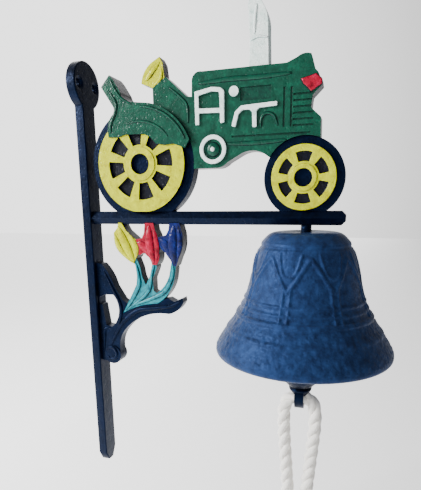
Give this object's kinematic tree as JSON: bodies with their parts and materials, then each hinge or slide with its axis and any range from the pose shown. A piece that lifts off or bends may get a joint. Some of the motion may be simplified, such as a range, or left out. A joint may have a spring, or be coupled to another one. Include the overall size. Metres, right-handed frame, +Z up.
{
  "type": "yard dinner bell",
  "caption": "Painted cast wall bracket with a toy-like farm tractor and tulips in relief on its arm; a flared bell turns on an eye bolt, with a swinging clapper and a doubled pull rope.",
  "frame": {"origin": "midway between the two screw holes, on the wall plane", "axes": "+X out from the wall along the arm, +Z up, -Y towards the tractor's right-hand side"},
  "size_m": [0.2176, 0.1158, 0.4377],
  "materials": {
    "blue_enamel": "semi-gloss blue enamel over a rough casting",
    "black_enamel": "semi-gloss blue-black enamel",
    "green_enamel": "semi-gloss green enamel",
    "yellow_enamel": "semi-gloss pale yellow enamel",
    "red_enamel": "semi-gloss crimson enamel",
    "turquoise_enamel": "semi-gloss turquoise enamel",
    "white_enamel": "semi-gloss white enamel",
    "zinc_steel": "dull zinc plate",
    "cotton_rope": "white three-strand cotton, frayed ends"
  },
  "bodies": {
    "bracket": {"wall_bar": "blue_enamel", "arm": "blue_enamel", "scroll_brace": "black_enamel", "tulip_stems": "turquoise_enamel", "tulip_yellow": "yellow_enamel", "tulip_red": "red_enamel", "tulip_blue": "blue_enamel", "rear_tyre": "black_enamel", "rear_wheel": "yellow_enamel", "rear_axle": "black_enamel", "front_tyre": "black_enamel", "front_wheel": "yellow_enamel", "front_axle": "black_enamel", "fender": "green_enamel", "tractor_body": "green_enamel", "nose_cap": "red_enamel", "exhaust_stack": "white_enamel", "steering_wheel": "yellow_enamel", "engine_frame_right": "white_enamel", "engine_frame_left": "white_enamel", "manifold_right": "white_enamel", "manifold_left": "white_enamel", "filler_cap_right": "white_enamel", "filler_cap_left": "white_enamel", "belt_pulley_right": "white_enamel", "belt_pulley_left": "white_enamel", "hanger_bolt": "black_enamel", "hanger_washer": "zinc_steel", "hanger_nut": "zinc_steel"},
    "bell": {"bell": "blue_enamel"},
    "clapper_link": {"clapper_link": "zinc_steel"},
    "clapper": {"clapper": "black_enamel"},
    "rope": {"rope_right": "cotton_rope", "rope_left": "cotton_rope"}
  },
  "joints": [
    {"name": "bell_spin", "type": "hinge", "parent": "bracket", "child": "bell", "pos_m": [0.1597, 0, -0.1011], "axis": [0, 0, 1], "continuous": true},
    {"name": "link_swing", "type": "hinge", "parent": "bracket", "child": "clapper_link", "pos_m": [0.1597, 0, -0.12015], "axis": [1, 0, 0], "range_deg": [-31, 31]},
    {"name": "clapper_swing", "type": "hinge", "parent": "clapper_link", "child": "clapper", "pos_m": [0.1597, 0, -0.1287], "axis": [0, 1, 0], "range_deg": [-12, 12]},
    {"name": "rope_swing", "type": "hinge", "parent": "clapper", "child": "rope", "pos_m": [0.1597, 0, -0.21115], "axis": [1, 0, 0], "range_deg": [-60, 60]}
  ]
}
